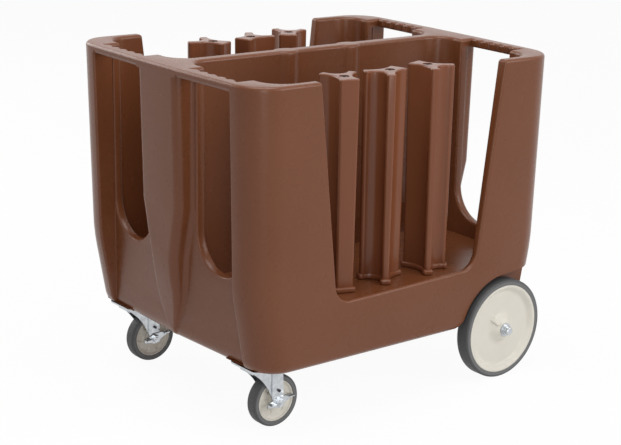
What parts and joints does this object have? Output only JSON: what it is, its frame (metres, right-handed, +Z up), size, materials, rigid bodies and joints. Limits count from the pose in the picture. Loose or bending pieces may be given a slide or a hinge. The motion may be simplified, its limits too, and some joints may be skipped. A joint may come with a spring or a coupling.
{
  "type": "plate dispenser cart",
  "caption": "Moulded plate dispenser cart with adjustable divider towers, slotted end walls, swivel casters with brakes and large fixed rear wheels.",
  "frame": {"origin": "on the floor under the centre of the cart", "axes": "+X along the cart towards the end with the large fixed wheels, +Y to its right side, +Z up"},
  "size_m": [0.9386, 0.7876, 0.8275],
  "materials": {
    "body_plastic": "coffee-brown rotomoulded polyethylene, fine orange peel",
    "tower_plastic": "coffee-brown polyethylene, satin to glossy",
    "zinc": "bright zinc plated pressed steel",
    "bolt_zinc": "zinc plated fasteners",
    "dark_steel": "oiled dark steel",
    "axle_steel": "bright drawn steel",
    "cream_plastic": "cream moulded plastic",
    "grey_rubber": "dark grey non-marking rubber",
    "caster_rubber": "dark grey rubber, paler at the side"
  },
  "bodies": {
    "cart": {"cart_body": "body_plastic", "rear_axle": "axle_steel", "left_axle_bracket": "zinc", "left_axle_cap": "bolt_zinc", "left_axle_sleeve": "axle_steel", "left_axle_washer": "bolt_zinc", "left_bracket_bolts": "bolt_zinc", "left_caster_plate": "zinc", "left_caster_plate_bolts": "bolt_zinc", "left_caster_kingpin": "bolt_zinc", "left_caster_balls": "dark_steel", "right_axle_bracket": "zinc", "right_axle_cap": "bolt_zinc", "right_axle_sleeve": "axle_steel", "right_axle_washer": "bolt_zinc", "right_bracket_bolts": "bolt_zinc", "right_caster_plate": "zinc", "right_caster_plate_bolts": "bolt_zinc", "right_caster_kingpin": "bolt_zinc", "right_caster_balls": "dark_steel"},
    "left_rear_wheel": {"left_rear_wheel_disc": "cream_plastic", "left_rear_tyre": "grey_rubber"},
    "left_caster_swivel": {"left_caster_fork": "zinc", "left_caster_axle_bolt": "bolt_zinc", "left_caster_axle_nut": "bolt_zinc", "left_caster_brake_rivet": "bolt_zinc"},
    "left_caster_wheel": {"left_caster_hub": "cream_plastic", "left_caster_tyre": "caster_rubber", "left_caster_bush": "axle_steel"},
    "left_brake": {"left_caster_brake_lever": "zinc"},
    "right_rear_wheel": {"right_rear_wheel_disc": "cream_plastic", "right_rear_tyre": "grey_rubber"},
    "right_caster_swivel": {"right_caster_fork": "zinc", "right_caster_axle_bolt": "bolt_zinc", "right_caster_axle_nut": "bolt_zinc", "right_caster_brake_rivet": "bolt_zinc"},
    "right_caster_wheel": {"right_caster_hub": "cream_plastic", "right_caster_tyre": "caster_rubber", "right_caster_bush": "axle_steel"},
    "right_brake": {"right_caster_brake_lever": "zinc"},
    "tower_1_clamp": {"tower_1_tie_rod": "dark_steel", "tower_1_clamp_nut": "bolt_zinc"},
    "tower_1": {"tower_1_column": "tower_plastic"},
    "tower_2_clamp": {"tower_2_tie_rod": "dark_steel", "tower_2_clamp_nut": "bolt_zinc"},
    "tower_2": {"tower_2_column": "tower_plastic"},
    "tower_3_clamp": {"tower_3_tie_rod": "dark_steel", "tower_3_clamp_nut": "bolt_zinc"},
    "tower_3": {"tower_3_column": "tower_plastic"},
    "tower_4_clamp": {"tower_4_tie_rod": "dark_steel", "tower_4_clamp_nut": "bolt_zinc"},
    "tower_4": {"tower_4_column": "tower_plastic"},
    "tower_5_clamp": {"tower_5_tie_rod": "dark_steel", "tower_5_clamp_nut": "bolt_zinc"},
    "tower_5": {"tower_5_column": "tower_plastic"},
    "tower_6_clamp": {"tower_6_tie_rod": "dark_steel", "tower_6_clamp_nut": "bolt_zinc"},
    "tower_6": {"tower_6_column": "tower_plastic"}
  },
  "joints": [
    {"name": "left_rear_wheel_spin", "type": "hinge", "parent": "cart", "child": "left_rear_wheel", "pos_m": [0.317, -0.351, 0.127], "axis": [0, 1, 0], "continuous": true},
    {"name": "left_caster_swivel_turn", "type": "hinge", "parent": "cart", "child": "left_caster_swivel", "pos_m": [-0.357, -0.257, 0.15], "axis": [0, 0, 1], "continuous": true},
    {"name": "left_caster_wheel_spin", "type": "hinge", "parent": "left_caster_swivel", "child": "left_caster_wheel", "pos_m": [-0.325, -0.257, 0.0635], "axis": [0, 1, 0], "continuous": true},
    {"name": "left_brake_press", "type": "hinge", "parent": "left_caster_swivel", "child": "left_brake", "pos_m": [-0.325, -0.257, 0.0635], "axis": [0, 1, 0], "range_deg": [-12, 12]},
    {"name": "right_rear_wheel_spin", "type": "hinge", "parent": "cart", "child": "right_rear_wheel", "pos_m": [0.317, 0.351, 0.127], "axis": [0, 1, 0], "continuous": true},
    {"name": "right_caster_swivel_turn", "type": "hinge", "parent": "cart", "child": "right_caster_swivel", "pos_m": [-0.357, 0.257, 0.15], "axis": [0, 0, 1], "continuous": true},
    {"name": "right_caster_wheel_spin", "type": "hinge", "parent": "right_caster_swivel", "child": "right_caster_wheel", "pos_m": [-0.325, 0.257, 0.0635], "axis": [0, 1, 0], "continuous": true},
    {"name": "right_brake_press", "type": "hinge", "parent": "right_caster_swivel", "child": "right_brake", "pos_m": [-0.325, 0.257, 0.0635], "axis": [0, 1, 0], "range_deg": [-12, 12]},
    {"name": "tower_1_slide", "type": "slide", "parent": "cart", "child": "tower_1_clamp", "axis": [1, 0, 0], "range_m": [-0.05, 0.002]},
    {"name": "tower_1_turn", "type": "hinge", "parent": "tower_1_clamp", "child": "tower_1", "pos_m": [-0.133, -0.262, 0.55], "axis": [0, 0, 1], "range_deg": [-8, 8]},
    {"name": "tower_2_slide", "type": "slide", "parent": "cart", "child": "tower_2_clamp", "axis": [1, 0, 0], "range_m": [0, 0.014]},
    {"name": "tower_2_turn", "type": "hinge", "parent": "tower_2_clamp", "child": "tower_2", "pos_m": [0.005, -0.262, 0.55], "axis": [0, 0, 1], "range_deg": [-8, 8]},
    {"name": "tower_3_slide", "type": "slide", "parent": "cart", "child": "tower_3_clamp", "axis": [1, 0, 0], "range_m": [-0.01, 0.05]},
    {"name": "tower_3_turn", "type": "hinge", "parent": "tower_3_clamp", "child": "tower_3", "pos_m": [0.124, -0.262, 0.55], "axis": [0, 0, 1], "range_deg": [-8, 8]},
    {"name": "tower_4_slide", "type": "slide", "parent": "cart", "child": "tower_4_clamp", "axis": [1, 0, 0], "range_m": [-0.05, 0.012]},
    {"name": "tower_4_turn", "type": "hinge", "parent": "tower_4_clamp", "child": "tower_4", "pos_m": [-0.122, 0.262, 0.55], "axis": [0, 0, 1], "range_deg": [-8, 8]},
    {"name": "tower_5_slide", "type": "slide", "parent": "cart", "child": "tower_5_clamp", "axis": [1, 0, 0], "range_m": [-0.012, 0]},
    {"name": "tower_5_turn", "type": "hinge", "parent": "tower_5_clamp", "child": "tower_5", "pos_m": [-0.004, 0.262, 0.55], "axis": [0, 0, 1], "range_deg": [-8, 8]},
    {"name": "tower_6_slide", "type": "slide", "parent": "cart", "child": "tower_6_clamp", "axis": [1, 0, 0], "range_m": [0, 0.05]},
    {"name": "tower_6_turn", "type": "hinge", "parent": "tower_6_clamp", "child": "tower_6", "pos_m": [0.119, 0.262, 0.55], "axis": [0, 0, 1], "range_deg": [-8, 8]}
  ]
}
